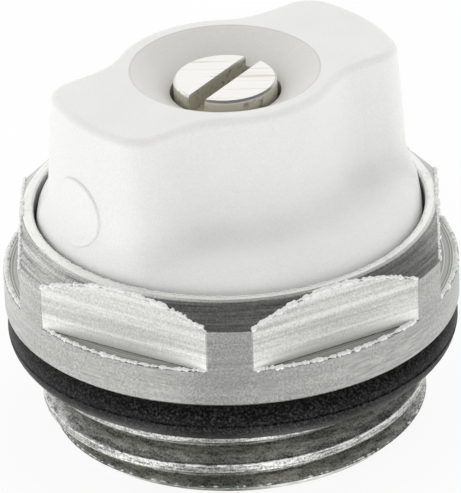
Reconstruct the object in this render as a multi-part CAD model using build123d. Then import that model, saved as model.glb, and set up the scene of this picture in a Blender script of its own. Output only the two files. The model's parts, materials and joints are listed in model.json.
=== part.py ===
from build123d import *
import os
from math import radians, sqrt, tan

# Manual radiator air vent: a nickel-plated brass plug with a G 1/2 thread and spanner flats,
# a white outlet cap that swivels on the plug's spigot, and a slotted vent screw in the middle.
# Millimetres. Z is the thread's axis, z = 0 is the thread's lower end.

# Fits
running_clearance = 0.05
seal_clearance = 0.02
stop_clearance = 0.1

# Thread and O-ring neck of the plug
thread_diameter = 20.6
thread_length = 4.0
thread_lead = 0.75
neck_relief = 0.82
neck_length = 2.6

# Collar, spanner flats and cup of the plug
collar_height = 2.0
collar_edge = 0.12
flat_ledge = 1.1
hex_height = 2.4
cone_height = 1.2
rim_width = 0.55
rim_edge = 0.1
cup_depth = 2.2

# Air way through the plug
inlet_diameter = 15.0
inlet_depth = 6.8
orifice_diameter = 2.0
orifice_length = 1.2
chamber_diameter = 4.2
chamber_length = 1.1
port_diameter = 1.4
port_rise = 2.6
port_roof = 0.2

# Collar O-ring
collar_oring_section = 2.5
trim_line_depth = 0.07
trim_line_width = 0.2

# Vent screw
screw_thread_diameter = 4.9
screw_shank_diameter = 3.2
screw_tip_diameter = 1.2
screw_relief_diameter = 3.6
screw_lift = 0.6
head_diameter = 5.45
head_recess = 0.57
head_edge = 0.12
slot_width = 1.0
slot_depth = 1.1
slot_angle = 56.4
air_groove_width = 1.0
air_groove_depth = 0.75
stem_oring_section = 0.8
stem_groove_land = 0.25
shoulder_overlap = 0.3

# Spigot of the plug, on which the cap turns
spigot_wall = 1.0
spigot_edge = 0.25
cap_oring_section = 0.8
cap_groove_rise = 0.9
snap_depth = 0.35
snap_height = 0.7
snap_gap = 0.4

# Outlet cap
cap_angle = 36.6
cap_rim_gap = 0.15
cap_floor_gap = 0.15
cap_end_setback = 0.8
cap_draft = 3.5
cap_opening_diameter = 9.95
cap_boss_rim = 0.95
cap_boss_blend = 4.0
cap_grip_width = 8.3
cap_shoulder_rise = 1.1
cap_shoulder_blend = 1.4
cap_shoulder_spread = 1.85
cap_shoulder_round = 2.2
cap_shoulder_turn = 70.0
cap_flare_blend = 2.5
cap_side_edge = 1.8
cap_top_edge = 0.45
funnel_depth = 1.3
funnel_gap = 0.2
lip_thickness = 0.8
port_groove_depth = 0.6
port_groove_height = 1.6
outlet_diameter = 2.0
pip_diameter = 3.7
pip_height = 0.13
pip_edge = 0.12
core_wall = 1.2
funnel_edge = 0.12

# Levels of the plug
collar_z = thread_length + neck_length
hex_z = collar_z + collar_height
cone_z = hex_z + hex_height
rim_z = cone_z + cone_height
cup_floor_z = rim_z - cup_depth
seat_z = inlet_depth + orifice_length
port_z = rim_z + port_rise

# Radii that follow the thread outwards: neck, O-ring, collar, and the spanner flats cut from the collar
thread_radius = thread_diameter / 2
neck_radius = thread_radius - neck_relief
collar_radius = neck_radius + seal_clearance + collar_oring_section + stop_clearance
hex_across_flats = 2 * (collar_radius - flat_ledge)
rim_radius = collar_radius - cone_height
cup_radius = rim_radius - rim_width

# Radii of the cap, which stands in the plug's cup
cap_base_radius = cup_radius - cap_rim_gap
cap_end_radius = cap_base_radius - cap_end_setback

# Radii that fit into each other, from the vent screw outwards
chamber_radius = chamber_diameter / 2
tapped_radius = screw_thread_diameter / 2 + running_clearance
lip_radius = head_diameter / 2 + funnel_gap
shoulder_radius = lip_radius + shoulder_overlap
gland_radius = shoulder_radius + stop_clearance
spigot_radius = gland_radius + spigot_wall
cap_bore_radius = spigot_radius + running_clearance

# Levels of the gland above the port, which the stem O-ring, the screw's travel and the lip stack up to
gland_z = port_z + port_diameter / 2 + port_roof
shoulder_z = gland_z + stop_clearance
stem_groove_height = stem_oring_section + stop_clearance
stem_groove_z = shoulder_z + stem_groove_land
shoulder_top_z = stem_groove_z + stem_groove_height + stem_groove_land
lip_z = shoulder_top_z + screw_lift + stop_clearance
spigot_top_z = lip_z - stop_clearance
funnel_z = lip_z + lip_thickness
cap_top_z = funnel_z + funnel_depth
head_z = cap_top_z - head_recess

# Levels of the cap on the spigot
cap_bottom_z = cup_floor_z + cap_floor_gap
cap_shoulder_z = rim_z + cap_shoulder_rise
cap_groove_height = cap_oring_section + stop_clearance
cap_groove_z = cup_floor_z + cap_groove_rise
cap_groove_radius = cap_bore_radius - cap_oring_section - 2 * seal_clearance
snap_z = cap_groove_z + cap_groove_height + snap_gap
port_groove_radius = cap_bore_radius + port_groove_depth


def turned(*points):
    """Solid of revolution about Z from (radius, height) points."""
    outline = Polyline(*[(r, 0, z) for r, z in points], close=True)
    return revolve(make_face(outline), Axis.Z)


def ring(section, centre_radius, centre_z):
    """O-ring: a torus of the given section."""
    return Pos(0, 0, centre_z) * Torus(centre_radius, section / 2)


def valve_body():
    outer = turned(
        (0, 0),
        (thread_radius - thread_lead, 0),
        (thread_radius, thread_lead),
        (thread_radius, thread_length),
        (neck_radius, thread_length),
        (neck_radius, collar_z),
        (collar_radius - collar_edge, collar_z),
        (collar_radius, collar_z + collar_edge),
        (collar_radius, cone_z),
        (rim_radius + rim_edge, rim_z - rim_edge),
        (rim_radius - rim_edge, rim_z),
        (cup_radius + rim_edge, rim_z),
        (cup_radius, rim_z - rim_edge),
        (cup_radius, cup_floor_z),
        (spigot_radius, cup_floor_z),
        (spigot_radius, spigot_top_z - spigot_edge),
        (spigot_radius - spigot_edge, spigot_top_z),
        (0, spigot_top_z),
    )
    flats_height = rim_z - hex_z
    flats = Pos(0, 0, hex_z) * extrude(
        Circle(2 * collar_radius) - RegularPolygon(hex_across_flats / 2, 6, major_radius=False, rotation=30),
        flats_height,
    )
    bores = turned(
        (0, 0),
        (inlet_diameter / 2, 0),
        (inlet_diameter / 2, inlet_depth),
        (orifice_diameter / 2, inlet_depth),
        (orifice_diameter / 2, seat_z),
        (chamber_radius, seat_z + chamber_radius - orifice_diameter / 2),
        (chamber_radius, seat_z + chamber_radius - orifice_diameter / 2 + chamber_length),
        (tapped_radius, seat_z + chamber_radius - orifice_diameter / 2 + chamber_length),
        (tapped_radius, gland_z),
        (gland_radius, gland_z),
        (gland_radius, spigot_top_z),
        (0, spigot_top_z),
    )
    port = Pos(0, 0, port_z) * Rot(0, 90, 0) * Cylinder(port_diameter / 2, 2 * spigot_radius)
    grooves = turned(
        (cap_groove_radius, cap_groove_z),
        (spigot_radius, cap_groove_z),
        (spigot_radius, cap_groove_z + cap_groove_height),
        (cap_groove_radius, cap_groove_z + cap_groove_height),
    ) + turned(
        (spigot_radius - snap_depth, snap_z),
        (spigot_radius, snap_z),
        (spigot_radius, snap_z + snap_height),
        (spigot_radius - snap_depth, snap_z + snap_height),
    )
    return outer - flats - bores - port - grooves


def collar_oring():
    centre_radius = neck_radius + seal_clearance + collar_oring_section / 2
    centre_z = collar_z - seal_clearance - collar_oring_section / 2
    edge_radius = centre_radius + collar_oring_section / 2
    trim_line = turned(
        (edge_radius - trim_line_depth, centre_z),
        (edge_radius + trim_line_depth, centre_z - trim_line_width),
        (edge_radius + trim_line_depth, centre_z + trim_line_width),
    )
    return ring(collar_oring_section, centre_radius, centre_z) - trim_line


def cap_oring():
    centre_radius = (cap_groove_radius + cap_bore_radius) / 2
    return ring(cap_oring_section, centre_radius, cap_groove_z + cap_groove_height / 2)


def stem_oring():
    centre_radius = gland_radius - seal_clearance - stem_oring_section / 2
    return ring(stem_oring_section, centre_radius, stem_groove_z + stem_groove_height / 2)


def vent_screw():
    groove_radius = gland_radius - stem_oring_section - 2 * seal_clearance
    head_radius = head_diameter / 2
    shank_radius = screw_shank_diameter / 2
    tip_radius = screw_tip_diameter / 2
    relief_radius = screw_relief_diameter / 2
    thread_radius_screw = screw_thread_diameter / 2
    chamber_top_z = seat_z + chamber_radius - orifice_diameter / 2 + chamber_length
    cone_foot_z = seat_z + seal_clearance - orifice_diameter / 2
    thread_low_z = chamber_top_z + stop_clearance
    thread_top_z = port_z - port_diameter
    turned_screw = turned(
        (0, cone_foot_z + tip_radius),
        (tip_radius, cone_foot_z + tip_radius),
        (shank_radius, cone_foot_z + shank_radius),
        (shank_radius, thread_low_z),
        (thread_radius_screw, thread_low_z),
        (thread_radius_screw, thread_top_z),
        (relief_radius, thread_top_z),
        (relief_radius, shoulder_z),
        (shoulder_radius, shoulder_z),
        (shoulder_radius, stem_groove_z),
        (groove_radius, stem_groove_z),
        (groove_radius, stem_groove_z + stem_groove_height),
        (shoulder_radius, stem_groove_z + stem_groove_height),
        (shoulder_radius, shoulder_top_z),
        (head_radius, shoulder_top_z),
        (head_radius, head_z - head_edge),
        (head_radius - head_edge, head_z),
        (0, head_z),
    )
    slot = Pos(0, 0, head_z) * Rot(0, 0, slot_angle) * Box(
        2 * head_diameter, slot_width, slot_depth, align=(Align.CENTER, Align.CENTER, Align.MAX)
    )
    air_groove = Pos(thread_radius_screw - air_groove_depth, 0, thread_low_z) * Box(
        2 * air_groove_depth, air_groove_width, thread_top_z - thread_low_z,
        align=(Align.MIN, Align.CENTER, Align.MIN),
    )
    return turned_screw - slot - air_groove


def cap_blank(raised=0.0):
    """Drafted round blank of the cap, flaring into its base."""
    base_radius = cap_base_radius + raised
    end_radius = cap_end_radius + raised
    draft = tan(radians(cap_draft))
    flare_low_z = rim_z + cap_shoulder_rise / 4
    flare_top_z = cap_shoulder_z + cap_shoulder_rise / 2
    outline = make_face(Polyline(
        (0, cap_bottom_z),
        (base_radius, cap_bottom_z),
        (base_radius, flare_low_z),
        (end_radius + draft * (cap_top_z - flare_top_z), flare_top_z),
        (end_radius, cap_top_z),
        (0, cap_top_z),
        close=True,
    ))
    bends = outline.vertices().filter_by(lambda v: flare_low_z - 0.01 < v.Y < flare_top_z + 0.01)
    return revolve(Plane.XZ * fillet(bends, cap_flare_blend), Axis.Z)


def cap_base_dome(foot_z):
    """The cap's base under the grip: flat in the middle, rounding over and falling away past its edge."""
    flat_radius = cap_base_radius - cap_shoulder_spread
    turn = radians(cap_shoulder_turn)
    crown = CenterArc(
        (flat_radius, cap_shoulder_z - cap_shoulder_round), cap_shoulder_round, 90, -cap_shoulder_turn
    )
    edge = crown @ 1
    fall = edge.Y - foot_z
    outline = crown + Polyline(
        (edge.X, edge.Y),
        (edge.X + fall / tan(turn), foot_z),
        (0, foot_z),
        (0, cap_shoulder_z),
        (flat_radius, cap_shoulder_z),
    )
    return revolve(Plane.XZ * make_face(outline), Axis.Z)


def side_recesses():
    """The two hollows that leave the grip bar with the round boss in its middle."""
    reach = 2 * cap_base_radius
    foot_z = cap_bottom_z - cap_floor_gap
    boss_radius = cap_opening_diameter / 2 + cap_boss_rim
    bar = Rectangle(4 * reach, cap_grip_width) + Circle(boss_radius)
    inner_corners = bar.vertices().filter_by(lambda v: abs(v.X) < boss_radius)
    bar = fillet(inner_corners, cap_boss_blend)
    plan = Pos(0, 0, cap_top_z) * (Rectangle(2 * reach, 2 * reach) - bar)
    tool = extrude(plan, amount=foot_z - cap_top_z, taper=cap_draft) - cap_base_dome(foot_z)
    seams = tool.edges().filter_by(
        lambda e: abs(e.center().Y) < boss_radius + cap_shoulder_blend
        and foot_z + 0.01 < e.center().Z < cap_shoulder_z + 0.01
    )
    return fillet(seams, cap_shoulder_blend)


def cap_bores():
    """Funnel, lip and bore of the cap, with the bead that snaps into the spigot and the port groove."""
    bead_radius = spigot_radius - snap_depth + running_clearance
    bead_low_z = snap_z + stop_clearance
    bead_top_z = snap_z + snap_height - stop_clearance
    groove_low_z = port_z - port_groove_height / 2
    groove_top_z = port_z + port_groove_height / 2
    return turned(
        (0, cap_bottom_z),
        (cap_bore_radius, cap_bottom_z),
        (cap_bore_radius, bead_low_z),
        (bead_radius, bead_low_z),
        (bead_radius, bead_top_z),
        (cap_bore_radius, bead_top_z),
        (cap_bore_radius, groove_low_z),
        (port_groove_radius, groove_low_z),
        (port_groove_radius, groove_top_z),
        (cap_bore_radius, groove_top_z),
        (cap_bore_radius, lip_z),
        (lip_radius, lip_z),
        (lip_radius, funnel_z),
        (cap_opening_diameter / 2, cap_top_z),
        (0, cap_top_z),
    )


def outlet_cap():
    cap = cap_blank() - side_recesses()
    side_edges = cap.edges().filter_by(
        lambda e: rim_z < e.center().Z < cap_top_z - 0.01
        and abs(e.center().Y) > cap_grip_width / 2
        and sqrt(e.center().X ** 2 + e.center().Y ** 2) > cap_end_radius
    )
    cap = fillet(side_edges, cap_side_edge)
    top_edges = cap.edges().filter_by(lambda e: e.center().Z > cap_top_z - 0.01)
    cap = fillet(top_edges, cap_top_edge)
    pip_reach = cap_base_radius + pip_height
    pip_rod = Pos(0, 0, port_z) * Rot(0, -90, 0) * Cylinder(
        pip_diameter / 2, pip_reach, align=(Align.CENTER, Align.CENTER, Align.MIN)
    )
    pip = pip_rod & cap_blank(pip_height)
    pip_edges = pip.edges().filter_by(lambda e: e.center().X < -cap_end_radius / 2).sort_by(Axis.X)
    pip = fillet(pip_edges[0], pip_edge)
    outlet = Pos(0, 0, port_z) * Rot(0, 90, 0) * Cylinder(
        outlet_diameter / 2, 2 * cap_base_radius, align=(Align.CENTER, Align.CENTER, Align.MIN)
    )
    hub_radius = port_groove_radius + core_wall
    skirt_radius = cap_base_radius - core_wall
    core_top_z = cap_shoulder_z - core_wall
    core = turned(
        (hub_radius, cap_bottom_z),
        (skirt_radius, cap_bottom_z),
        (skirt_radius, core_top_z),
        (hub_radius, core_top_z),
    )
    cap = cap + pip - cap_bores() - core - outlet
    mouth = cap.edges().filter_by(GeomType.CIRCLE).filter_by(
        lambda e: abs(e.center().Z - cap_top_z) < 0.01 and abs(e.radius - cap_opening_diameter / 2) < 0.01
    )
    cap = fillet(mouth, funnel_edge)
    return Rot(0, 0, cap_angle) * cap


def main():
    os.makedirs("parts", exist_ok=True)
    for make in (valve_body, collar_oring, outlet_cap, cap_oring, vent_screw, stem_oring):
        export_step(make(), f"parts/{make.__name__}.step")


if __name__ == "__main__":
    main()
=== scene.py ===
# %% [markdown]
# # A manual radiator air vent
# The part is a nickel-plated brass plug that screws into a radiator, a white plastic cap that swivels on it,
# and a slotted screw in the middle that lets the air out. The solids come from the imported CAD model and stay
# where they are. This lesson adds what the solids leave out: the pipe thread, the burrs that the cutting
# tools left along the edges, and the finish of each material. Blender works in metres here, so real sizes are
# written in millimetres and multiplied by `MM`.

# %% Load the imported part
import json
import math

import bpy
import bmesh
from mathutils import Matrix, Vector

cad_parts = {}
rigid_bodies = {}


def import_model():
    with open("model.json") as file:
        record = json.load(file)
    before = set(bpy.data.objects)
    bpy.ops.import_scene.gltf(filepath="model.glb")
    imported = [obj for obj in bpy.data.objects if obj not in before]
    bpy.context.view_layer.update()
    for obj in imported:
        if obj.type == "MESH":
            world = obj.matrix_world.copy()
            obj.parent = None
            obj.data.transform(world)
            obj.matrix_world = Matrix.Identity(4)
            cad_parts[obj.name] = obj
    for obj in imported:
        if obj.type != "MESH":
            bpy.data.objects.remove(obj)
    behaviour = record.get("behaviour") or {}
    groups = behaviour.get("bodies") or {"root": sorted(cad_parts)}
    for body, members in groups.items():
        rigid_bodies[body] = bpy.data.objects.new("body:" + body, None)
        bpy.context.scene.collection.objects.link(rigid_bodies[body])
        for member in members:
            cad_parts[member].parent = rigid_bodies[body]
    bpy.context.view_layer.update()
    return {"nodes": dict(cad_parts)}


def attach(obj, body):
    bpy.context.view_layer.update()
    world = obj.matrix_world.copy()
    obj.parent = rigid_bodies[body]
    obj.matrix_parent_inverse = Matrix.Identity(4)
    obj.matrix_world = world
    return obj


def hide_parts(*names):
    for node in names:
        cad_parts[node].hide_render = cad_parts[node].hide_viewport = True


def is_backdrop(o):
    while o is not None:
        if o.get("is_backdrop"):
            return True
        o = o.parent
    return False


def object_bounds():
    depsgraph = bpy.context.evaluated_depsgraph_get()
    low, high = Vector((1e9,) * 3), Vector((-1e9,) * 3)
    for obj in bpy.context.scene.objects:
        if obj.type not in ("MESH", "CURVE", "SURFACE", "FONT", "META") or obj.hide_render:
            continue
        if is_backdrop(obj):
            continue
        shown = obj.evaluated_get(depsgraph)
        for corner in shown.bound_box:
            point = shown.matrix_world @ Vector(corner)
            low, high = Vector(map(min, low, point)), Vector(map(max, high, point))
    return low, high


MM = 0.001
for leftover in list(bpy.data.objects):
    bpy.data.objects.remove(leftover)
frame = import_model()
nodes = frame["nodes"]
scene = bpy.context.scene
scene.view_settings.view_transform = "Standard"
print("CAD nodes:", ", ".join(sorted(nodes)))

# %% [markdown]
# ## The camera
# The photograph looks down on the vent by just under 29 degrees, through a long lens from about 32 cm, so
# its upright edges hardly converge. The camera is placed first, because every later choice is judged through
# it. It could be turned by hand until it looks right. Here its direction is worked out from three angles,
# and it is aimed a little below the middle of the part so that the part sits where it does in the picture.

# %% Camera
FRAME_WIDE = 461
FRAME_HIGH = 493
FOCAL_PIXELS = 6058.5
azimuth = math.radians(1.1)
elevation = math.radians(28.69)
roll = math.radians(1.86)
distance = 320.83 * MM
look_at = Vector((0, 0, 10.083 * MM))
look_at_pixel = (230.2, 234.6)

toward = Vector((
    math.sin(azimuth) * math.cos(elevation),
    -math.cos(azimuth) * math.cos(elevation),
    math.sin(elevation),
))
level_right = (-toward).cross(Vector((0, 0, 1))).normalized()
level_up = level_right.cross(-toward)
right = level_right * math.cos(roll) - level_up * math.sin(roll)
up = level_right * math.sin(roll) + level_up * math.cos(roll)
aim_x = (look_at_pixel[0] - FRAME_WIDE / 2) / FOCAL_PIXELS
aim_y = (FRAME_HIGH / 2 - look_at_pixel[1]) / FOCAL_PIXELS
forward = (-toward - right * aim_x - up * aim_y).normalized()
up = (up - forward * up.dot(forward)).normalized()
right = forward.cross(up)

camera = bpy.data.objects.new("photo_camera", bpy.data.cameras.new("photo_camera"))
scene.collection.objects.link(camera)
turn = Matrix((right, up, -forward)).transposed().to_4x4()
camera.matrix_world = Matrix.Translation(look_at + toward * distance) @ turn
camera.data.sensor_width = 36
camera.data.lens = FOCAL_PIXELS / FRAME_HIGH * camera.data.sensor_width
camera.data.clip_start = 0.01
scene.camera = camera
print("camera at", [round(c / MM, 1) for c in camera.location], "mm")
print("lens", round(camera.data.lens, 1), "mm")

# %% [markdown]
# ## Two helpers for the finishes
# Colours are written as the sRGB hex values that a colour picker shows, and Cycles wants linear light, so
# one function converts them. A second function adds a shader or geometry node, sets its options and fills
# its sockets with values or with links. With these two every finish below reads as a short list.

# %% Colour and node helpers
def linear(hex_colour):
    """Linear RGBA of an sRGB hex colour."""
    channels = [int(hex_colour[i:i + 2], 16) / 255 for i in (1, 3, 5)]
    return (*[c / 12.92 if c <= 0.04045 else ((c + 0.055) / 1.055) ** 2.4 for c in channels], 1.0)


def add(tree, kind, sockets=None, **options):
    """Add a node to a tree, set its options, and set or link its sockets."""
    node = tree.nodes.new(kind)
    for name, value in options.items():
        setattr(node, name, value)
    for name, value in (sockets or {}).items():
        if isinstance(value, bpy.types.NodeSocket):
            tree.links.new(value, node.inputs[name])
        else:
            node.inputs[name].default_value = value
    return node


def finish(name):
    """A new material with its tree and its empty Principled shader."""
    material = bpy.data.materials.new(name)
    material.use_nodes = True
    tree = material.node_tree
    tree.nodes.clear()
    shader = add(tree, "ShaderNodeBsdfPrincipled")
    add(tree, "ShaderNodeOutputMaterial", {"Surface": shader.outputs["BSDF"]})
    return material, tree, shader


print("helpers ready")

# %% [markdown]
# ## Nickel-plated brass
# The plug is free-cutting brass, turned on a lathe, milled on six sides, and plated with a few micrometres
# of nickel. Plating follows the tool marks and doesn't hide them, so each kind of cut keeps its own look:
# - the milled flats are pale and matt, with straight lines along the cut, and painted lighter toward their
#   foot as painted light,
# - the ledges under the flats are darker, with lines that follow the collar,
# - the turned collar has a fine grain, with streaks where it was rubbed,
# - the turned cone mirrors the room through fine rings,
# - the thread is streaked along its turns, and its grooves are darker toward the root, partly for thinner
#   plate and partly as painted shade,
# - the rim of the cup is almost white, partly for its own finish and partly as a painted highlight.
#
# The finish could be split into several materials by face. Here it stays one material, and the distance from
# the axis and the height tell the cuts apart, so that it fits the part at any mesh. The limits lie up to a
# tenth of a millimetre off the real edges, so that rounding puts no face on the wrong side of one.

# %% Where the plug was milled and where it was turned
nickel, tree, shader = finish("nickel_plated_brass")
place = add(tree, "ShaderNodeTexCoord").outputs["Object"]
place_mm = add(tree, "ShaderNodeVectorMath", {0: place, "Scale": 1 / MM}, operation="SCALE").outputs[0]
sideways = add(tree, "ShaderNodeVectorMath", {0: place_mm, 1: (1, 1, 0)}, operation="MULTIPLY").outputs[0]
radius = add(tree, "ShaderNodeVectorMath", {0: sideways}, operation="LENGTH").outputs["Value"]
height = add(tree, "ShaderNodeSeparateXYZ", {0: place_mm}).outputs["Z"]
slant = add(tree, "ShaderNodeMath", {0: radius, 1: height}, operation="ADD").outputs[0]
zone = {}
for name, measure, test, limit_mm in (
    ("inside_collar", radius, "LESS_THAN", 12.06),
    ("under_cone", slant, "LESS_THAN", 23.04),
    ("above_collar", height, "GREATER_THAN", 8.5),
    ("outside_cup", radius, "GREATER_THAN", 10.93),
    ("above_ledge", height, "GREATER_THAN", 8.63),
    ("on_cone", height, "GREATER_THAN", 10.9),
    ("on_rim", height, "GREATER_THAN", 12.13),
    ("on_thread", height, "LESS_THAN", 4.4),
    ("inside_cup", radius, "LESS_THAN", 10.4),
    ("above_cup_floor", height, "GREATER_THAN", 9.95),
):
    zone[name] = add(tree, "ShaderNodeMath", {0: measure, 1: limit_mm}, operation=test).outputs[0]
for name, first, second, operation in (
    ("cut_low", "inside_collar", "under_cone", "MULTIPLY"),
    ("cut_high", "above_collar", "outside_cup", "MULTIPLY"),
    ("milled", "cut_low", "cut_high", "MULTIPLY"),
    ("flat", "milled", "above_ledge", "MULTIPLY"),
    ("cup_wall", "inside_cup", "above_cup_floor", "MULTIPLY"),
    ("matt", "flat", "cup_wall", "MAXIMUM"),
):
    zone[name] = add(tree, "ShaderNodeMath", {
        0: zone[first], 1: zone[second],
    }, operation=operation).outputs[0]
print("nickel zones:", ", ".join(zone))

# %% Tool marks as noise
# Real feed lines lie about 0.1 mm apart and the grain of the plate is finer still. Both are drawn coarser, so
# that they still show at the size of the picture.
LINE_SPACING_MM = 0.30
LINE_LENGTH_MM = 14
STREAK_SPACING_MM = 0.12
STREAK_LENGTH_MM = 1.1
RING_LENGTH_MM = 6
GRAIN_MM = 0.11
PATCH_MM = 2.6
marks = {}
for name, length_mm, spacing_mm, roughness in (
    ("lines", LINE_LENGTH_MM, LINE_SPACING_MM, 0.65),
    ("streaks", STREAK_LENGTH_MM, STREAK_SPACING_MM, 0.7),
    ("rings", RING_LENGTH_MM, STREAK_SPACING_MM, 0.7),
):
    stretched = add(tree, "ShaderNodeVectorMath", {
        0: place_mm, 1: (1 / length_mm, 1 / length_mm, 1 / spacing_mm),
    }, operation="MULTIPLY").outputs[0]
    marks[name] = add(tree, "ShaderNodeTexNoise", {
        "Vector": stretched, "Scale": 1.0, "Detail": 4.0, "Roughness": roughness,
    }).outputs["Fac"]
for name, size_mm, roughness in (("grain", GRAIN_MM, 0.6), ("patches", PATCH_MM, 0.5)):
    marks[name] = add(tree, "ShaderNodeTexNoise", {
        "Vector": place_mm, "Scale": 1 / size_mm, "Detail": 2.0, "Roughness": roughness,
    }).outputs["Fac"]
outward = add(tree, "ShaderNodeMath", {0: radius, 1: 1 / STREAK_SPACING_MM}, operation="MULTIPLY").outputs[0]
marks["ledge_rings"] = add(tree, "ShaderNodeTexNoise", {
    "W": outward, "Scale": 1.0, "Detail": 3.0, "Roughness": 0.6,
}, noise_dimensions="1D").outputs["Fac"]
print("nickel marks:", ", ".join(marks))

# %% Each cut mixes its own marks
for name, pattern, grain_share in (
    ("grained", "lines", 0.7),
    ("pitted", "lines", 0.4),
    ("torn", "streaks", 0.45),
    ("ringed", "rings", 0.35),
):
    marks[name] = add(tree, "ShaderNodeMix", {
        "Factor": grain_share, 2: marks[pattern], 3: marks["grain"],
    }, data_type="FLOAT").outputs[0]
rubbed = add(tree, "ShaderNodeMapRange", {
    "Value": marks["patches"], "From Min": 0.5, "From Max": 0.62, "To Max": 0.8,
}, interpolation_type="SMOOTHSTEP").outputs["Result"]
marks["handled"] = add(tree, "ShaderNodeMix", {
    "Factor": rubbed, 2: marks["grained"], 3: marks["streaks"],
}, data_type="FLOAT").outputs[0]
tone = {}
for name, pattern, low, high, dark, pale in (
    ("flat", "pitted", 0.38, 0.62, 0.52, 0.94),
    ("ledge", "ledge_rings", 0.3, 0.7, 0.25, 0.95),
    ("collar", "handled", 0.34, 0.66, 0.38, 0.76),
    ("cone", "ringed", 0.38, 0.62, 0.28, 0.86),
    ("thread", "torn", 0.40, 0.60, 0.16, 0.88),
    # The rim's pale tone is partly a painted highlight.
    ("rim", "torn", 0.34, 0.48, 0.7, 1.0),
    ("milled_gloss", "lines", 0.3, 0.7, 0.42, 0.56),
    ("turned_gloss", "grain", 0.3, 0.7, 0.30, 0.46),
):
    tone[name] = add(tree, "ShaderNodeMapRange", {
        "Value": marks[pattern], "From Min": low, "From Max": high, "To Min": dark, "To Max": pale,
    }).outputs["Result"]
# Painted light: the flats are painted lighter toward their foot, where the ledge below shades them.
FOOT_TOP_MM = 9.7
FOOT_MM = 8.9
painted_light_at_foot = add(tree, "ShaderNodeMapRange", {
    "Value": height, "From Min": FOOT_TOP_MM, "From Max": FOOT_MM, "To Max": 0.3,
}, interpolation_type="SMOOTHSTEP").outputs["Result"]
tone["flat_with_painted_light"] = add(tree, "ShaderNodeMath", {
    0: tone["flat"], 1: painted_light_at_foot,
}, operation="ADD", use_clamp=True).outputs[0]
print("nickel tones:", ", ".join(tone))

# %% One finish for the whole plug
for name, where, elsewhere, there in (
    ("milled", "above_ledge", "ledge", "flat_with_painted_light"),
    ("turned", "on_cone", "collar", "cone"),
    ("lathe", "on_thread", "turned", "thread"),
    ("cut", "milled", "lathe", "milled"),
    ("plug", "on_rim", "cut", "rim"),
    ("gloss", "milled", "turned_gloss", "milled_gloss"),
):
    tone[name] = add(tree, "ShaderNodeMix", {
        "Factor": zone[where], 2: tone[elsewhere], 3: tone[there],
    }, data_type="FLOAT").outputs[0]
plate = add(tree, "ShaderNodeMix", {
    "Factor": tone["plug"], 6: linear("#000000"), 7: linear("#FDFEF9"),
}, data_type="RGBA").outputs[2]
# Darker toward the groove root: partly thinner plate over the brass, partly painted shade.
GROOVE_TOP_MM = 10.2
GROOVE_MM = 9.6
groove = add(tree, "ShaderNodeMapRange", {
    "Value": radius, "From Min": GROOVE_TOP_MM, "From Max": GROOVE_MM, "To Max": 0.42,
}).outputs["Result"]
groove_plate_and_shade = add(tree, "ShaderNodeMath", {0: groove, 1: zone["on_thread"]}, operation="MULTIPLY").outputs[0]
metal = add(tree, "ShaderNodeMix", {
    "Factor": groove_plate_and_shade, 6: plate, 7: linear("#4E4A3C"),
}, data_type="RGBA").outputs[2]
mirror_share = add(tree, "ShaderNodeMapRange", {
    "Value": zone["matt"], "To Min": 1.0, "To Max": 0.3,
}).outputs["Result"]
bump = add(tree, "ShaderNodeBump", {"Height": marks["grained"], "Strength": 0.35, "Distance": 0.006 * MM})
tree.links.new(mirror_share, shader.inputs["Metallic"])
tree.links.new(metal, shader.inputs["Base Color"])
tree.links.new(tone["gloss"], shader.inputs["Roughness"])
tree.links.new(bump.outputs["Normal"], shader.inputs["Normal"])
print("nickel: lines", LINE_SPACING_MM, "mm apart, grain", GRAIN_MM, "mm")

# %% [markdown]
# ## Burrs with a painted glint
# A burr is a torn, curled edge of metal a tenth of a millimetre thick. Its plate points every way at once, and
# that
# glint is painted here: a white colour with a low share of metal and a flaky bump make it a white crumbly line
# and not a mirror, as a painted highlight. Real flakes are smaller than a pixel of the picture, so these are
# drawn coarser.

# %% Burrs with a painted glint
burr_painted_glint, tree, shader = finish("burr_nickel_painted_glint")
place = add(tree, "ShaderNodeTexCoord").outputs["Object"]
FLAKE = 0.15 * MM
flakes = add(tree, "ShaderNodeTexNoise", {
    "Vector": place, "Scale": 1 / FLAKE, "Detail": 3.0, "Roughness": 0.7,
}).outputs["Fac"]
colour = add(tree, "ShaderNodeMix", {
    "Factor": flakes, 6: linear("#EAEAE7"), 7: linear("#FFFFFF"),
}, data_type="RGBA").outputs[2]
bump = add(tree, "ShaderNodeBump", {"Height": flakes, "Strength": 0.5, "Distance": 0.02 * MM})
# Painted highlight: a white colour with little metal paints the glint of the burrs.
shader.inputs["Metallic"].default_value = 0.15
shader.inputs["Roughness"].default_value = 0.4
tree.links.new(colour, shader.inputs["Base Color"])
tree.links.new(bump.outputs["Normal"], shader.inputs["Normal"])
print("burrs: flakes", FLAKE / MM, "mm")

# %% [markdown]
# ## Brass of the vent screw
# The screw is plated like the plug on its turned head, but its slot was sawn afterwards, so the walls of the
# slot are bare brass that has gone dull and olive, and their darker colour is partly painted shade. A second
# material could be given to the slot's faces. The screw's mesh stays as the CAD gave it, so the colour changes
# with height instead, just under the head's top.
# Real saw marks are about 0.1 mm apart, and are drawn coarser here so that they show.

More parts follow.
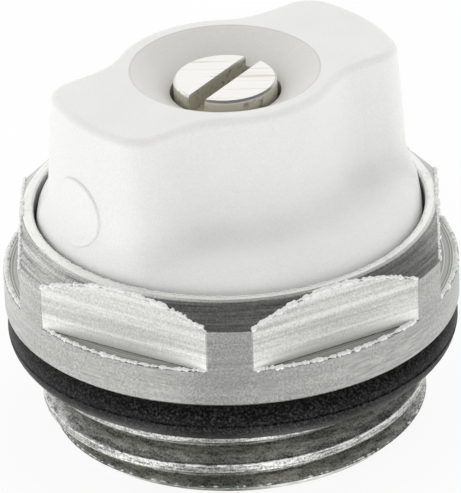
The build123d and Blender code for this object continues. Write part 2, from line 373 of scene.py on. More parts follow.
# %% Screw brass
brass, tree, shader = finish("turned_brass_sawn_slot")
place = add(tree, "ShaderNodeTexCoord").outputs["Object"]
height = add(tree, "ShaderNodeSeparateXYZ", {0: place}).outputs["Z"]
SAW_SPACING = 0.25 * MM
SAW_LENGTH = 25 / 3 * MM
SLOT_ANGLE = math.radians(-56.4)
BARE_BELOW = 19.22 * MM
PLATED_ABOVE = 19.36 * MM
saw_place = add(tree, "ShaderNodeMapping", {
    "Vector": place, "Rotation": (0, 0, SLOT_ANGLE),
    "Scale": (1 / SAW_LENGTH, 1 / SAW_SPACING, 1 / SAW_SPACING),
}).outputs["Vector"]
saw_lines = add(tree, "ShaderNodeTexNoise", {
    "Vector": saw_place, "Scale": 1.0, "Detail": 3.0, "Roughness": 0.6,
}).outputs["Fac"]
head_top = add(tree, "ShaderNodeMapRange", {
    "Value": height, "From Min": BARE_BELOW, "From Max": PLATED_ABOVE,
}, interpolation_type="SMOOTHSTEP").outputs["Result"]
streaks = add(tree, "ShaderNodeMapRange", {
    "Value": saw_lines, "From Min": 0.30, "From Max": 0.46,
}, interpolation_type="SMOOTHSTEP").outputs["Result"]
# The slot's darker colour is partly dull bare brass and partly painted shade.
sawn_and_shaded = add(tree, "ShaderNodeMix", {
    "Factor": streaks, 6: linear("#8C8878"), 7: linear("#C6C2B2"),
}, data_type="RGBA").outputs[2]
plated = add(tree, "ShaderNodeMix", {
    "Factor": streaks, 6: linear("#DEDACF"), 7: linear("#FFFEFA"),
}, data_type="RGBA").outputs[2]
colour = add(tree, "ShaderNodeMix", {"Factor": head_top, 6: sawn_and_shaded, 7: plated}, data_type="RGBA").outputs[2]
metal_share = add(tree, "ShaderNodeMapRange", {
    "Value": head_top, "To Min": 0.35, "To Max": 1.0,
}).outputs["Result"]
gloss = add(tree, "ShaderNodeMapRange", {
    "Value": saw_lines, "From Min": 0.3, "From Max": 0.7, "To Min": 0.28, "To Max": 0.42,
}).outputs["Result"]
bump = add(tree, "ShaderNodeBump", {"Height": saw_lines, "Strength": 0.4, "Distance": 0.01 * MM})
tree.links.new(metal_share, shader.inputs["Metallic"])
tree.links.new(colour, shader.inputs["Base Color"])
tree.links.new(gloss, shader.inputs["Roughness"])
tree.links.new(bump.outputs["Normal"], shader.inputs["Normal"])
print("screw: saw marks", SAW_SPACING / MM, "mm apart")

# %% [markdown]
# ## White moulded plastic
# The cap is injection-moulded acetal: a cool white that lets a little light in under its skin, with the fine
# sparked texture of the mould and slow waves where the plastic shrank. Both are made by noise in the bump,
# one at the size of the mould's grain, drawn about twice as coarse as the real one so that it shows, and one
# a few millimetres long. The funnel is painted darker inside, more so deeper down, as painted shade, and a
# thin line of painted shade runs along its edge.

# %% Cap plastic
plastic, tree, shader = finish("moulded_white_acetal")
place = add(tree, "ShaderNodeTexCoord").outputs["Object"]
MOULD_GRAIN = 0.1 * MM
SINK_WAVE = 4 * MM
FUNNEL_EDGE = 4.98 * MM
FUNNEL_SHADE_RADIUS = 4.96 * MM
FUNNEL_SHADE_TOP = 19.97 * MM
FUNNEL_SHADE_FOOT = 18.9 * MM
EDGE_SHADE_ABOVE = 19.6 * MM
EDGE_SHADE_HALF = 0.02 * MM
EDGE_SHADE_FADE = 0.08 * MM
mould = add(tree, "ShaderNodeTexNoise", {
    "Vector": place, "Scale": 1 / MOULD_GRAIN, "Detail": 2.0, "Roughness": 0.6,
}).outputs["Fac"]
sink = add(tree, "ShaderNodeTexNoise", {
    "Vector": place, "Scale": 1 / SINK_WAVE, "Detail": 2.0, "Roughness": 0.5,
}).outputs["Fac"]
speckle = add(tree, "ShaderNodeMix", {"Factor": 0.3, 2: mould, 3: sink}, data_type="FLOAT").outputs[0]
clean = add(tree, "ShaderNodeMix", {
    "Factor": speckle, 6: linear("#DCDCD9"), 7: linear("#FFFFFE"),
}, data_type="RGBA").outputs[2]
sideways = add(tree, "ShaderNodeVectorMath", {0: place, 1: (1, 1, 0)}, operation="MULTIPLY").outputs[0]
radius = add(tree, "ShaderNodeVectorMath", {0: sideways}, operation="LENGTH").outputs["Value"]
height = add(tree, "ShaderNodeSeparateXYZ", {0: place}).outputs["Z"]
# Painted shade: the funnel is painted darker inside, more so deeper down.
in_funnel = add(tree, "ShaderNodeMath", {0: radius, 1: FUNNEL_SHADE_RADIUS}, operation="LESS_THAN").outputs[0]
depth = add(tree, "ShaderNodeMapRange", {
    "Value": height, "From Min": FUNNEL_SHADE_TOP, "From Max": FUNNEL_SHADE_FOOT, "To Min": 0.25, "To Max": 0.4,
}).outputs["Result"]
funnel_painted_shade = add(tree, "ShaderNodeMath", {0: in_funnel, 1: depth}, operation="MULTIPLY").outputs[0]
# Painted shade: a thin dark line along the funnel's edge on top of the cap.
from_edge = add(tree, "ShaderNodeMath", {0: radius, 1: FUNNEL_EDGE}, operation="SUBTRACT").outputs[0]
off_edge = add(tree, "ShaderNodeMath", {0: from_edge}, operation="ABSOLUTE").outputs[0]
edge_line = add(tree, "ShaderNodeMapRange", {
    "Value": off_edge, "From Min": EDGE_SHADE_HALF, "From Max": EDGE_SHADE_FADE, "To Min": 0.75, "To Max": 0.0,
}).outputs["Result"]
on_top = add(tree, "ShaderNodeMath", {0: height, 1: EDGE_SHADE_ABOVE}, operation="GREATER_THAN").outputs[0]
edge_painted_shade = add(tree, "ShaderNodeMath", {0: edge_line, 1: on_top}, operation="MULTIPLY").outputs[0]
painted_shade = add(tree, "ShaderNodeMath", {0: funnel_painted_shade, 1: edge_painted_shade}, operation="MAXIMUM").outputs[0]
colour = add(tree, "ShaderNodeMix", {
    "Factor": painted_shade, 6: clean, 7: linear("#CBC7BF"),
}, data_type="RGBA").outputs[2]
gloss = add(tree, "ShaderNodeMapRange", {
    "Value": mould, "From Min": 0.3, "From Max": 0.7, "To Min": 0.33, "To Max": 0.43,
}).outputs["Result"]
waves = add(tree, "ShaderNodeBump", {"Height": sink, "Strength": 0.25, "Distance": 0.05 * MM})
skin = add(tree, "ShaderNodeBump", {
    "Height": mould, "Strength": 0.2, "Distance": 0.006 * MM, "Normal": waves.outputs["Normal"],
})
shader.inputs["IOR"].default_value = 1.48
shader.inputs["Subsurface Weight"].default_value = 0.2
shader.inputs["Subsurface Radius"].default_value = (1.0, 0.9, 0.8)
shader.inputs["Subsurface Scale"].default_value = 0.4 * MM
tree.links.new(colour, shader.inputs["Base Color"])
tree.links.new(gloss, shader.inputs["Roughness"])
tree.links.new(skin.outputs["Normal"], shader.inputs["Normal"])
print("plastic: mould grain", MOULD_GRAIN / MM, "mm")

# %% [markdown]
# ## Black rubber
# The O-rings are moulded EPDM, a black rubber with a dull sheen. Handling leaves specks of dust and a faint
# bloom, so the roughness and the black vary by noise, and a bump gives the skin its slight orange peel. Real
# dust is finer than a pixel of the picture, so its specks are drawn coarser.

# %% O-ring rubber
rubber, tree, shader = finish("moulded_black_epdm")
place = add(tree, "ShaderNodeTexCoord").outputs["Object"]
PEEL_SIZE = 0.13 * MM
BLOOM_SIZE = 1.5 * MM
peel = add(tree, "ShaderNodeTexNoise", {
    "Vector": place, "Scale": 1 / PEEL_SIZE, "Detail": 3.0, "Roughness": 0.65,
}).outputs["Fac"]
bloom = add(tree, "ShaderNodeTexNoise", {
    "Vector": place, "Scale": 1 / BLOOM_SIZE, "Detail": 4.0, "Roughness": 0.6,
}).outputs["Fac"]
dust = add(tree, "ShaderNodeMapRange", {
    "Value": peel, "From Min": 0.46, "From Max": 0.70, "To Max": 1.0,
}).outputs["Result"]
colour = add(tree, "ShaderNodeMix", {
    "Factor": dust, 6: linear("#030403"), 7: linear("#424442"),
}, data_type="RGBA").outputs[2]
gloss = add(tree, "ShaderNodeMapRange", {
    "Value": bloom, "From Min": 0.3, "From Max": 0.7, "To Min": 0.38, "To Max": 0.52,
}).outputs["Result"]
bump = add(tree, "ShaderNodeBump", {"Height": peel, "Strength": 0.3, "Distance": 0.012 * MM})
shader.inputs["IOR"].default_value = 1.5
shader.inputs["Specular IOR Level"].default_value = 0.2
tree.links.new(colour, shader.inputs["Base Color"])
tree.links.new(gloss, shader.inputs["Roughness"])
tree.links.new(bump.outputs["Normal"], shader.inputs["Normal"])
print("rubber: peel", PEEL_SIZE / MM, "mm")

# %% [markdown]
# ## The pipe thread
# A G 1/2 thread has 14 turns to the inch, so each turn climbs 1.814 mm, with flanks at 55 degrees and rounded
# crests and roots. A picture of rings in the bump would look flat at the outline, and a modelled ridge could
# stand off the plug. So the thread is cut as a lathe cuts it: the section of the cutting tool is swept along
# a helix by Geometry Nodes, and a Boolean takes that sweep away from a copy of the plug. The helix starts
# below the plug and ends in the neck under the O-ring, as a real tool runs in and out.

# %% Section of the threading tool
PITCH = 25.4 / 14 * MM
ROOT_RADIUS = 9.316 * MM
CREST_RADIUS = 10.3 * MM
ROOT_ROUND = 0.22 * MM
CREST_ROUND = 0.14 * MM
TOOL_OVERREACH = 0.4 * MM
TOOL_HALF_WIDTH = 0.48 * PITCH
ROOT_STEPS = 5
CREST_STEPS = 6
flank = math.radians(27.5)
root_centre = ROOT_RADIUS + ROOT_ROUND
flank_start = (root_centre - ROOT_ROUND * math.sin(flank), ROOT_ROUND * math.cos(flank))
crest_centre = CREST_RADIUS - CREST_ROUND
flank_rise = flank_start[1] + (crest_centre - flank_start[0]) * math.tan(flank)
crest_half = flank_rise + CREST_ROUND / math.cos(flank)
half_section = []
for step in range(ROOT_STEPS + 1):
    angle = math.pi - step / ROOT_STEPS * (math.pi / 2 - flank)
    half_section.append((root_centre + ROOT_ROUND * math.cos(angle), ROOT_ROUND * math.sin(angle)))
for step in range(CREST_STEPS + 1):
    angle = (step / CREST_STEPS - 1) * (math.pi / 2 - flank)
    half_section.append((
        crest_centre + CREST_ROUND * math.cos(angle), crest_half + CREST_ROUND * math.sin(angle),
    ))
half_section.append((CREST_RADIUS + TOOL_OVERREACH, TOOL_HALF_WIDTH))
section_points = [(r, -h) for r, h in half_section] + [(r, h) for r, h in reversed(half_section[1:])]
tool_curve = bpy.data.curves.new("thread_tool_section", "CURVE")
tool_spline = tool_curve.splines.new("POLY")
tool_spline.points.add(len(section_points) - 1)
for point, (r, h) in zip(tool_spline.points, section_points):
    point.co = (r - CREST_RADIUS, h, 0, 1)
tool_spline.use_cyclic_u = True
tool_section = bpy.data.objects.new("thread_tool_section", tool_curve)
scene.collection.objects.link(tool_section)
print("thread: pitch", round(PITCH / MM, 3), "mm, crest", round((PITCH - 2 * crest_half) / MM, 2), "mm wide")

# %% Sweep of the tool along the helix
def inputs_of(tree, *sockets):
    """Declare a tree's inputs and its geometry output, and return its input node."""
    for name, kind in sockets:
        tree.interface.new_socket(name, in_out="INPUT", socket_type=kind)
    tree.interface.new_socket("Geometry", in_out="OUTPUT", socket_type="NodeSocketGeometry")
    return add(tree, "NodeGroupInput").outputs


def made_by(tree, name, values):
    """Run a geometry tree on an empty object and return the result as a plain mesh."""
    carrier = bpy.data.objects.new(name, bpy.data.meshes.new(name + "_carrier"))
    scene.collection.objects.link(carrier)
    modifier = carrier.modifiers.new(name, "NODES")
    modifier.node_group = tree
    for item in tree.interface.items_tree:
        if item.in_out == "INPUT" and item.name in values:
            modifier[item.identifier] = values[item.name]
    evaluated = carrier.evaluated_get(bpy.context.evaluated_depsgraph_get())
    mesh = bpy.data.meshes.new_from_object(evaluated)
    carrier.modifiers.remove(modifier)
    bpy.data.objects.remove(carrier)
    return mesh


thread_tree = bpy.data.node_groups.new("thread_sweep", "GeometryNodeTree")
given = inputs_of(
    thread_tree, ("Section", "NodeSocketObject"), ("Radius", "NodeSocketFloat"), ("Pitch", "NodeSocketFloat"),
    ("Turns", "NodeSocketFloat"), ("Start Height", "NodeSocketFloat"), ("Start Angle", "NodeSocketFloat"),
    ("Steps per Turn", "NodeSocketInt"), ("Material", "NodeSocketMaterial"),
)
climb = add(thread_tree, "ShaderNodeMath", {
    0: given["Pitch"], 1: given["Turns"],
}, operation="MULTIPLY").outputs[0]
helix = add(thread_tree, "GeometryNodeCurveSpiral", {
    "Resolution": given["Steps per Turn"], "Rotations": given["Turns"], "Start Radius": given["Radius"],
    "End Radius": given["Radius"], "Height": climb, "Reverse": True,
}).outputs["Curve"]
upright = add(thread_tree, "GeometryNodeSetCurveNormal", {"Curve": helix}, mode="Z_UP").outputs["Curve"]
section = add(thread_tree, "GeometryNodeObjectInfo", {"Object": given["Section"]}).outputs["Geometry"]
sweep = add(thread_tree, "GeometryNodeCurveToMesh", {
    "Curve": upright, "Profile Curve": section, "Fill Caps": True,
}).outputs["Mesh"]
spin = add(thread_tree, "ShaderNodeCombineXYZ", {"Z": given["Start Angle"]}).outputs[0]
lift = add(thread_tree, "ShaderNodeCombineXYZ", {"Z": given["Start Height"]}).outputs[0]
placed = add(thread_tree, "GeometryNodeTransform", {
    "Geometry": sweep, "Translation": lift, "Rotation": spin,
}).outputs["Geometry"]
whole = add(thread_tree, "GeometryNodeRealizeInstances", {"Geometry": placed}).outputs["Geometry"]
coated = add(thread_tree, "GeometryNodeSetMaterial", {
    "Geometry": whole, "Material": given["Material"],
}).outputs["Geometry"]
add(thread_tree, "NodeGroupOutput", {"Geometry": coated})

# The photograph shows a groove at this height on the side that faces the camera.
FRONT_GROOVE = 0.911 * MM
FRONT_ANGLE = math.radians(-88.9)
TURNS_BELOW = 1.35
cutter_mesh = made_by(thread_tree, "thread_cutter", {
    "Section": tool_section, "Radius": CREST_RADIUS, "Pitch": PITCH, "Turns": 3.2,
    "Start Height": FRONT_GROOVE - TURNS_BELOW * PITCH,
    "Start Angle": FRONT_ANGLE - TURNS_BELOW * 2 * math.pi,
    "Steps per Turn": 144, "Material": nickel,
})
heights = [round(v.co.z / MM, 2) for v in cutter_mesh.vertices]
print("thread sweep:", len(cutter_mesh.polygons), "faces, z", min(heights), "to", max(heights), "mm")

# %% Cut the thread from a copy of the plug
def forget_normals(mesh):
    """Drop the CAD's stored normals, which no longer fit once a mesh has been cut."""
    stored = mesh.attributes.get("custom_normal")
    if stored:
        mesh.attributes.remove(stored)


MERGE_DISTANCE = 0.0005 * MM
plug_mesh = nodes["valve_body"].data.copy()
plug_mesh.name = "threaded_plug"
forget_normals(plug_mesh)
working = bmesh.new()
working.from_mesh(plug_mesh)
bmesh.ops.remove_doubles(working, verts=working.verts, dist=MERGE_DISTANCE)
working.to_mesh(plug_mesh)
working.free()
plug = bpy.data.objects.new("threaded_plug", plug_mesh)
cutter = bpy.data.objects.new("thread_cutter", cutter_mesh)
scene.collection.objects.link(plug)
scene.collection.objects.link(cutter)
cut = plug.modifiers.new("thread", "BOOLEAN")
cut.operation = "DIFFERENCE"
cut.solver = "EXACT"
cut.object = cutter
plain_faces = len(plug_mesh.polygons)
threaded = bpy.data.meshes.new_from_object(plug.evaluated_get(bpy.context.evaluated_depsgraph_get()))
plug.modifiers.remove(cut)
bpy.data.objects.remove(cutter)
bpy.data.objects.remove(tool_section)
print("plug:", plain_faces, "faces before the thread,", len(threaded.polygons), "after")

# %% [markdown]
# ## Burrs along the cut edges
# A cutter that mills a flat pushes a thin ragged lip of metal over its edge, and the plating makes that lip
# shine, which its material paints as a white glint. The photograph shows it along the arched top of each flat
# and along the outer edge of the ledge under it. Both edges follow a rule: the arch is where the flat meets
# the
# 45 degree cone, and the ledge's edge is an arc of the collar. So one Geometry Nodes tree draws the two lines
# for one flat and repeats them six times.
#
# The lathe leaves a finer lip along the thread's crest, along its lead-in at the end, and round the cup's
# rim. A second tree draws these as spirals: with equal radii it is a helix, and without a climb it is a ring.
# Both trees end alike: noise shakes the line and gives it a thickness that comes and goes.

# %% A line becomes a ragged lip
LIP_INPUTS = (
    ("Lip Radius", "NodeSocketFloat"), ("Shake", "NodeSocketFloat"), ("Ragged Length", "NodeSocketFloat"),
    ("Seed", "NodeSocketFloat"), ("Material", "NodeSocketMaterial"),
)


def ragged_lip(tree, line, given):
    """End a tree: shake its line with noise and give it a thickness that comes and goes."""
    spot = add(tree, "GeometryNodeInputPosition").outputs[0]
    finer = add(tree, "ShaderNodeMath", {0: 1.0, 1: given["Ragged Length"]}, operation="DIVIDE").outputs[0]
    rough = add(tree, "ShaderNodeTexNoise", {
        "Vector": spot, "W": given["Seed"], "Scale": finer, "Detail": 3.0, "Roughness": 0.7,
    }, noise_dimensions="4D").outputs
    centred = add(tree, "ShaderNodeVectorMath", {
        0: rough["Color"], 1: (0.5, 0.5, 0.5),
    }, operation="SUBTRACT").outputs[0]
    shift = add(tree, "ShaderNodeVectorMath", {
        0: centred, "Scale": given["Shake"],
    }, operation="SCALE").outputs[0]
    shaken = add(tree, "GeometryNodeSetPosition", {"Geometry": line, "Offset": shift}).outputs["Geometry"]
    swell = add(tree, "ShaderNodeMapRange", {
        "Value": rough["Fac"], "From Min": 0.38, "From Max": 0.6, "To Min": 0.2, "To Max": 1.0,
    }).outputs["Result"]
    lip = add(tree, "GeometryNodeCurvePrimitiveCircle", {
        "Resolution": 7, "Radius": given["Lip Radius"],
    }).outputs["Curve"]
    solid = add(tree, "GeometryNodeCurveToMesh", {
        "Curve": shaken, "Profile Curve": lip, "Scale": swell, "Fill Caps": True,
    }).outputs["Mesh"]
    whole = add(tree, "GeometryNodeRealizeInstances", {"Geometry": solid}).outputs["Geometry"]
    coated = add(tree, "GeometryNodeSetMaterial", {
        "Geometry": whole, "Material": given["Material"],
    }).outputs["Geometry"]
    add(tree, "NodeGroupOutput", {"Geometry": coated})


print("a lip has", len(LIP_INPUTS), "settings")

# %% Tree of the burr lines on the flats
burr_tree = bpy.data.node_groups.new("milling_burrs", "GeometryNodeTree")
given = inputs_of(
    burr_tree, ("Flat Distance", "NodeSocketFloat"), ("Collar Radius", "NodeSocketFloat"),
    ("Cone Tip", "NodeSocketFloat"), ("Ledge Height", "NodeSocketFloat"), ("Half Length", "NodeSocketFloat"),
    ("Flats", "NodeSocketInt"), ("Points", "NodeSocketInt"), *LIP_INPUTS,
)
other_half = add(burr_tree, "ShaderNodeMath", {
    0: given["Half Length"], 1: -1.0,
}, operation="MULTIPLY").outputs[0]
one_end = add(burr_tree, "ShaderNodeCombineXYZ", {"X": given["Flat Distance"], "Y": other_half}).outputs[0]
other_end = add(burr_tree, "ShaderNodeCombineXYZ", {
    "X": given["Flat Distance"], "Y": given["Half Length"],
}).outputs[0]
chord = add(burr_tree, "GeometryNodeCurvePrimitiveLine", {
    "Start": one_end, "End": other_end,
}).outputs["Curve"]
beads = add(burr_tree, "GeometryNodeResampleCurve", {
    "Curve": chord, "Count": given["Points"],
}).outputs["Curve"]
spot = add(burr_tree, "GeometryNodeInputPosition").outputs[0]
reach = add(burr_tree, "ShaderNodeVectorMath", {0: spot}, operation="LENGTH").outputs["Value"]
arch_height = add(burr_tree, "ShaderNodeMath", {
    0: given["Cone Tip"], 1: reach,
}, operation="SUBTRACT").outputs[0]
arch_rise = add(burr_tree, "ShaderNodeCombineXYZ", {"Z": arch_height}).outputs[0]
arch = add(burr_tree, "GeometryNodeSetPosition", {"Geometry": beads, "Offset": arch_rise}).outputs["Geometry"]
outward = add(burr_tree, "ShaderNodeVectorMath", {0: spot}, operation="NORMALIZE").outputs[0]
on_collar = add(burr_tree, "ShaderNodeVectorMath", {
    0: outward, "Scale": given["Collar Radius"],
}, operation="SCALE").outputs[0]
ledge_rise = add(burr_tree, "ShaderNodeCombineXYZ", {"Z": given["Ledge Height"]}).outputs[0]
on_ledge = add(burr_tree, "ShaderNodeVectorMath", {0: on_collar, 1: ledge_rise}, operation="ADD").outputs[0]
ledge = add(burr_tree, "GeometryNodeSetPosition", {
    "Geometry": beads, "Position": on_ledge,
}).outputs["Geometry"]
both_lines = add(burr_tree, "GeometryNodeJoinGeometry")
for line in (arch, ledge):
    burr_tree.links.new(line, both_lines.inputs["Geometry"])
centres = add(burr_tree, "GeometryNodeMeshLine", {
    "Count": given["Flats"], "Offset": (0, 0, 0),
}).outputs["Mesh"]
index = add(burr_tree, "GeometryNodeInputIndex").outputs[0]
sixth = add(burr_tree, "ShaderNodeMath", {0: 2 * math.pi, 1: given["Flats"]}, operation="DIVIDE").outputs[0]
turned_by = add(burr_tree, "ShaderNodeMath", {0: index, 1: sixth}, operation="MULTIPLY").outputs[0]
facing = add(burr_tree, "ShaderNodeCombineXYZ", {"Z": turned_by}).outputs[0]
around = add(burr_tree, "GeometryNodeInstanceOnPoints", {
    "Points": centres, "Instance": both_lines.outputs["Geometry"], "Rotation": facing,
}).outputs["Instances"]
loose = add(burr_tree, "GeometryNodeRealizeInstances", {"Geometry": around}).outputs["Geometry"]
ragged_lip(burr_tree, loose, given)
print("burr tree:", len(burr_tree.nodes), "nodes")

# %% Tree of the burrs that the lathe left
lathe_burr_tree = bpy.data.node_groups.new("lathe_burrs", "GeometryNodeTree")
given = inputs_of(
    lathe_burr_tree, ("Start Radius", "NodeSocketFloat"), ("End Radius", "NodeSocketFloat"),
    ("Climb", "NodeSocketFloat"), ("Turns", "NodeSocketFloat"), ("Start Height", "NodeSocketFloat"),
    ("Start Angle", "NodeSocketFloat"), ("Steps per Turn", "NodeSocketInt"), *LIP_INPUTS,
)
edge = add(lathe_burr_tree, "GeometryNodeCurveSpiral", {
    "Resolution": given["Steps per Turn"], "Rotations": given["Turns"], "Start Radius": given["Start Radius"],
    "End Radius": given["End Radius"], "Height": given["Climb"], "Reverse": True,
}).outputs["Curve"]
spin = add(lathe_burr_tree, "ShaderNodeCombineXYZ", {"Z": given["Start Angle"]}).outputs[0]
lift = add(lathe_burr_tree, "ShaderNodeCombineXYZ", {"Z": given["Start Height"]}).outputs[0]
placed = add(lathe_burr_tree, "GeometryNodeTransform", {
    "Geometry": edge, "Translation": lift, "Rotation": spin,
}).outputs["Geometry"]
ragged_lip(lathe_burr_tree, placed, given)
print("lathe burr tree:", len(lathe_burr_tree.nodes), "nodes")

# %% Make the burrs
COLLAR_RADIUS = 12.1 * MM
FLAT_DISTANCE = 11.0 * MM
CONE_TIP = 23.1 * MM
LEDGE_BURR_SINK = 0.15 * MM
ARCH_BURR_SINK = 0.04 * MM
CREST_BURR_SINK = 0.04 * MM
CREST_TURNS_BELOW = 0.66
CREST_TURNS = CREST_TURNS_BELOW + 1.0
RIM_BURR_RADIUS = 10.47 * MM
burr_mesh = made_by(burr_tree, "milling_burrs", {
    "Flat Distance": FLAT_DISTANCE - ARCH_BURR_SINK, "Collar Radius": COLLAR_RADIUS - LEDGE_BURR_SINK,
    "Cone Tip": CONE_TIP, "Ledge Height": 8.65 * MM, "Half Length": 5.0 * MM,
    "Lip Radius": 0.16 * MM, "Shake": 0.2 * MM, "Ragged Length": 0.28 * MM,
    "Flats": 6, "Points": 260, "Seed": 4.0, "Material": burr_painted_glint,
})
crest_edge = FRONT_GROOVE + PITCH - crest_half
crest_mesh = made_by(lathe_burr_tree, "crest_burr", {
    "Start Radius": CREST_RADIUS - CREST_BURR_SINK, "End Radius": CREST_RADIUS - CREST_BURR_SINK,
    "Climb": CREST_TURNS * PITCH, "Turns": CREST_TURNS,
    "Start Height": crest_edge - CREST_TURNS_BELOW * PITCH,
    "Start Angle": FRONT_ANGLE - CREST_TURNS_BELOW * 2 * math.pi, "Steps per Turn": 400,
    "Lip Radius": 0.08 * MM, "Shake": 0.12 * MM, "Ragged Length": 0.3 * MM, "Seed": 7.0, "Material": burr_painted_glint,
})
lead_mesh = made_by(lathe_burr_tree, "lead_burr", {
    "Start Radius": 9.55 * MM, "End Radius": 10.19 * MM,
    "Climb": 0.66 * MM, "Turns": 0.555, "Start Height": 0.09 * MM,
    "Start Angle": FRONT_ANGLE - math.radians(100), "Steps per Turn": 400,
    "Lip Radius": 0.09 * MM, "Shake": 0.14 * MM, "Ragged Length": 0.25 * MM, "Seed": 9.0, "Material": burr_painted_glint,
})
rim_mesh = made_by(lathe_burr_tree, "rim_burr", {
    "Start Radius": RIM_BURR_RADIUS, "End Radius": RIM_BURR_RADIUS, "Climb": 0.0, "Turns": 1.0,
    "Start Height": 12.18 * MM, "Start Angle": math.radians(90), "Steps per Turn": 900,
    "Lip Radius": 0.08 * MM, "Shake": 0.1 * MM, "Ragged Length": 0.16 * MM, "Seed": 11.0, "Material": burr_painted_glint,
})
burr_meshes = (burr_mesh, crest_mesh, lead_mesh, rim_mesh)
print("burr faces:", [len(mesh.polygons) for mesh in burr_meshes])

# %% Join the burrs to the plug
SHARP_ANGLE = math.radians(13)
joined = bmesh.new()
joined.from_mesh(threaded)
plug_faces = len(joined.faces)
for lips in burr_meshes:
    joined.from_mesh(lips)
joined.to_mesh(plug_mesh)
joined.free()
forget_normals(plug_mesh)
plug_mesh.materials.clear()
plug_mesh.materials.append(nickel)
plug_mesh.materials.append(burr_painted_glint)
for face in plug_mesh.polygons:
    face.material_index = int(face.index >= plug_faces)
    face.use_smooth = True
plug_mesh.set_sharp_from_angle(angle=SHARP_ANGLE)
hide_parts("valve_body")
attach(plug, "valve_body")
print("plug with burrs:", len(plug_mesh.polygons), "faces")

# %% [markdown]
# ## Finishes on the solids
# The cap, the screw and the O-rings have their true shape in the CAD, so they only change material. Their
# meshes carry the exact normals of the CAD surfaces, and nothing needs to be smoothed.

# %% Dress the CAD nodes
dress = {
    "outlet_cap": plastic, "vent_screw": brass,
    "collar_oring": rubber, "cap_oring": rubber, "stem_oring": rubber,
}
for name, material in dress.items():
    for slot in nodes[name].material_slots:
        slot.material = material
    print(name, "takes", material.name)

# %% [markdown]
# ## Light
# The photograph was lit for a catalogue, with white paper all round and hardly a shadow. Three things make
# that light here:
# - a dome that is bright nearly all round, but dims to the left and toward one corner at the right front, so
#   that the cap's front wall and the hollow in it are softly shaded,
# - a weak window lamp at the left front,
# - a white table, which lights the part from below.
#
# The background is painted white for the camera only, through the Light Path node, so that it doesn't flood
# the part with light. Polished metal has no colour of its own to show, so mirror rays get their own room:
# white at the back and on the left, dim in front and above, as the cone and the rim show it.

# %% World
world = bpy.data.worlds.new("paper_room")
scene.world = world
world.use_nodes = True
tree = world.node_tree
tree.nodes.clear()
PAPER_SIDE = (-0.5, 1.0, 0.0)
DIM_CORNER = Vector((0.4, -0.75, 0.5)).normalized()
DOME_BRIGHT = 1.27
DOME_DIM = 0.45
BACKGROUND_SEEN = 1.0
direction = add(tree, "ShaderNodeTexCoord").outputs["Generated"]
toward_paper = add(tree, "ShaderNodeVectorMath", {
    0: direction, 1: PAPER_SIDE,
}, operation="DOT_PRODUCT").outputs["Value"]
room = add(tree, "ShaderNodeMapRange", {
    "Value": toward_paper, "From Min": -0.15, "From Max": 0.88, "To Min": 0.12, "To Max": 0.97,
}, interpolation_type="SMOOTHSTEP").outputs["Result"]
path = add(tree, "ShaderNodeLightPath").outputs
toward_corner = add(tree, "ShaderNodeVectorMath", {
    0: direction, 1: DIM_CORNER,
}, operation="DOT_PRODUCT").outputs["Value"]
dome = add(tree, "ShaderNodeMapRange", {
    "Value": toward_corner, "From Min": 0.35, "From Max": 0.95, "To Min": DOME_BRIGHT, "To Max": DOME_DIM,
}, interpolation_type="SMOOTHSTEP").outputs["Result"]
leftward = add(tree, "ShaderNodeMapRange", {
    "Value": add(tree, "ShaderNodeSeparateXYZ", {0: direction}).outputs["X"],
    "From Min": -1.0, "From Max": 0.1, "To Min": 0.6, "To Max": 1.0,
}).outputs["Result"]
shaded = add(tree, "ShaderNodeMath", {0: dome, 1: leftward}, operation="MULTIPLY").outputs[0]
soft = add(tree, "ShaderNodeMix", {
    "Factor": path["Is Glossy Ray"], 2: shaded, 3: room,
}, data_type="FLOAT").outputs[0]
level = add(tree, "ShaderNodeMix", {
    "Factor": path["Is Camera Ray"], 2: soft, 3: BACKGROUND_SEEN,
}, data_type="FLOAT").outputs[0]
paper = add(tree, "ShaderNodeBackground", {"Color": (1, 1, 1, 1), "Strength": level})
add(tree, "ShaderNodeOutputWorld", {"Surface": paper.outputs["Background"]})
print("world: white for the camera,", DOME_BRIGHT, "down to", DOME_DIM, "for soft light")

# %% Lamp
LAMP_SIZE = 200 * MM
LAMP_WATTS = 0.12
lamp_data = bpy.data.lights.new("window_lamp", "AREA")
lamp_data.size = LAMP_SIZE
lamp_data.energy = LAMP_WATTS
lamp = bpy.data.objects.new("window_lamp", lamp_data)
scene.collection.objects.link(lamp)
lamp.location = Vector((-150, -300, 260)) * MM
part_middle = Vector((0, 0, 10 * MM))
lamp.rotation_euler = (part_middle - lamp.location).to_track_quat("-Z", "Y").to_euler()
lamp.visible_glossy = False
print(lamp.name, LAMP_WATTS, "W")

# %% [markdown]
# ## Table
# The table is one big sheet of paper. The camera sees it nearly white, so that the part keeps a faint shadow,
# and it glows a little to light the part from below. For mirror rays it is dimmer in front and on the right,
# and close to the plug it has two pale stripes, which the thread shows as the two bright streaks of the
# photograph.

# %% Table sheet
TABLE_HALF = 600 * MM
TABLE_SINK = 0.02 * MM
corners = [(x * TABLE_HALF, y * TABLE_HALF, -TABLE_SINK) for x, y in ((-1, -1), (1, -1), (1, 1), (-1, 1))]
table_mesh = bpy.data.meshes.new("white_table")
table_mesh.from_pydata(corners, [], [(0, 1, 2, 3)])
table = bpy.data.objects.new("white_table", table_mesh)
scene.collection.objects.link(table)
print("table:", 2 * TABLE_HALF, "m of white paper")

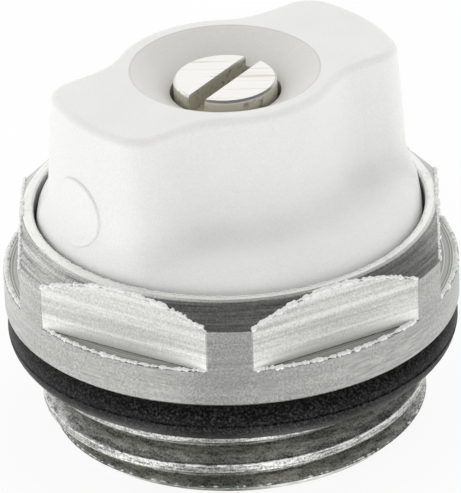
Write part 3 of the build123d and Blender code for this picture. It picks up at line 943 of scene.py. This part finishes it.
# %% Table paper
STRIPES_SHIFT = 1.8 * MM
PAPER_GLOW = 1.28
PAPER_SEEN = 0.90
table_paper = bpy.data.materials.new("white_table_paper")
table_paper.use_nodes = True
tree = table_paper.node_tree
tree.nodes.clear()
place = add(tree, "ShaderNodeTexCoord").outputs["Object"]
spread = add(tree, "ShaderNodeSeparateXYZ", {0: place}).outputs
beside = add(tree, "ShaderNodeMath", {0: spread["X"]}, operation="ABSOLUTE").outputs[0]
shifted = add(tree, "ShaderNodeMath", {0: spread["X"], 1: STRIPES_SHIFT}, operation="ADD").outputs[0]
off_middle = add(tree, "ShaderNodeMath", {0: shifted}, operation="ABSOLUTE").outputs[0]
flat_place = add(tree, "ShaderNodeVectorMath", {0: place, 1: (1, 1, 0)}, operation="MULTIPLY").outputs[0]
away = add(tree, "ShaderNodeVectorMath", {0: flat_place}, operation="LENGTH").outputs["Value"]
ramp = {}
for name, measure, start_mm, stop_mm, start_level, stop_level, interpolation in (
    ("aside", beside, 5, 17, 0.5, 0.84, "SMOOTHSTEP"),
    ("behind", spread["Y"], -10, 5, 0.0, 1.0, "LINEAR"),
    ("sided", spread["X"], -18, 18, 1.0, 0.78, "LINEAR"),
    ("stripe_in", off_middle, 1.8, 4.5, 0.45, 1.6, "SMOOTHSTEP"),
    ("stripe_out", off_middle, 5.5, 9, 1.0, 0.5, "SMOOTHSTEP"),
    ("beyond", away, 18, 22, 0.0, 1.0, "LINEAR"),
):
    ramp[name] = add(tree, "ShaderNodeMapRange", {
        "Value": measure, "From Min": start_mm * MM, "From Max": stop_mm * MM,
        "To Min": start_level, "To Max": stop_level,
    }, interpolation_type=interpolation).outputs["Result"]
far = add(tree, "ShaderNodeMath", {0: ramp["aside"], 1: ramp["behind"]}, operation="MAXIMUM").outputs[0]
far_sided = add(tree, "ShaderNodeMath", {0: far, 1: ramp["sided"]}, operation="MULTIPLY").outputs[0]
stripes = add(tree, "ShaderNodeMath", {
    0: ramp["stripe_in"], 1: ramp["stripe_out"],
}, operation="MULTIPLY").outputs[0]
mirrored = add(tree, "ShaderNodeMix", {
    "Factor": ramp["beyond"], 2: stripes, 3: far_sided,
}, data_type="FLOAT").outputs[0]
path = add(tree, "ShaderNodeLightPath").outputs
lit = add(tree, "ShaderNodeMix", {
    "Factor": path["Is Glossy Ray"], 2: PAPER_GLOW, 3: mirrored,
}, data_type="FLOAT").outputs[0]
glow = add(tree, "ShaderNodeMix", {
    "Factor": path["Is Camera Ray"], 2: lit, 3: PAPER_SEEN,
}, data_type="FLOAT").outputs[0]
glow_paper = add(tree, "ShaderNodeEmission", {"Strength": glow}).outputs["Emission"]
dull_paper = add(tree, "ShaderNodeBsdfDiffuse", {"Color": linear("#585858")}).outputs["BSDF"]
both = add(tree, "ShaderNodeAddShader", {0: glow_paper, 1: dull_paper}).outputs["Shader"]
add(tree, "ShaderNodeOutputMaterial", {"Surface": both})
table_mesh.materials.append(table_paper)
table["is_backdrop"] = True
print("paper ramps:", ", ".join(ramp))

# %% Measure the dressed part
low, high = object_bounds()
print("dressed box in mm:", [round(c / MM, 2) for c in (*low, *high)])
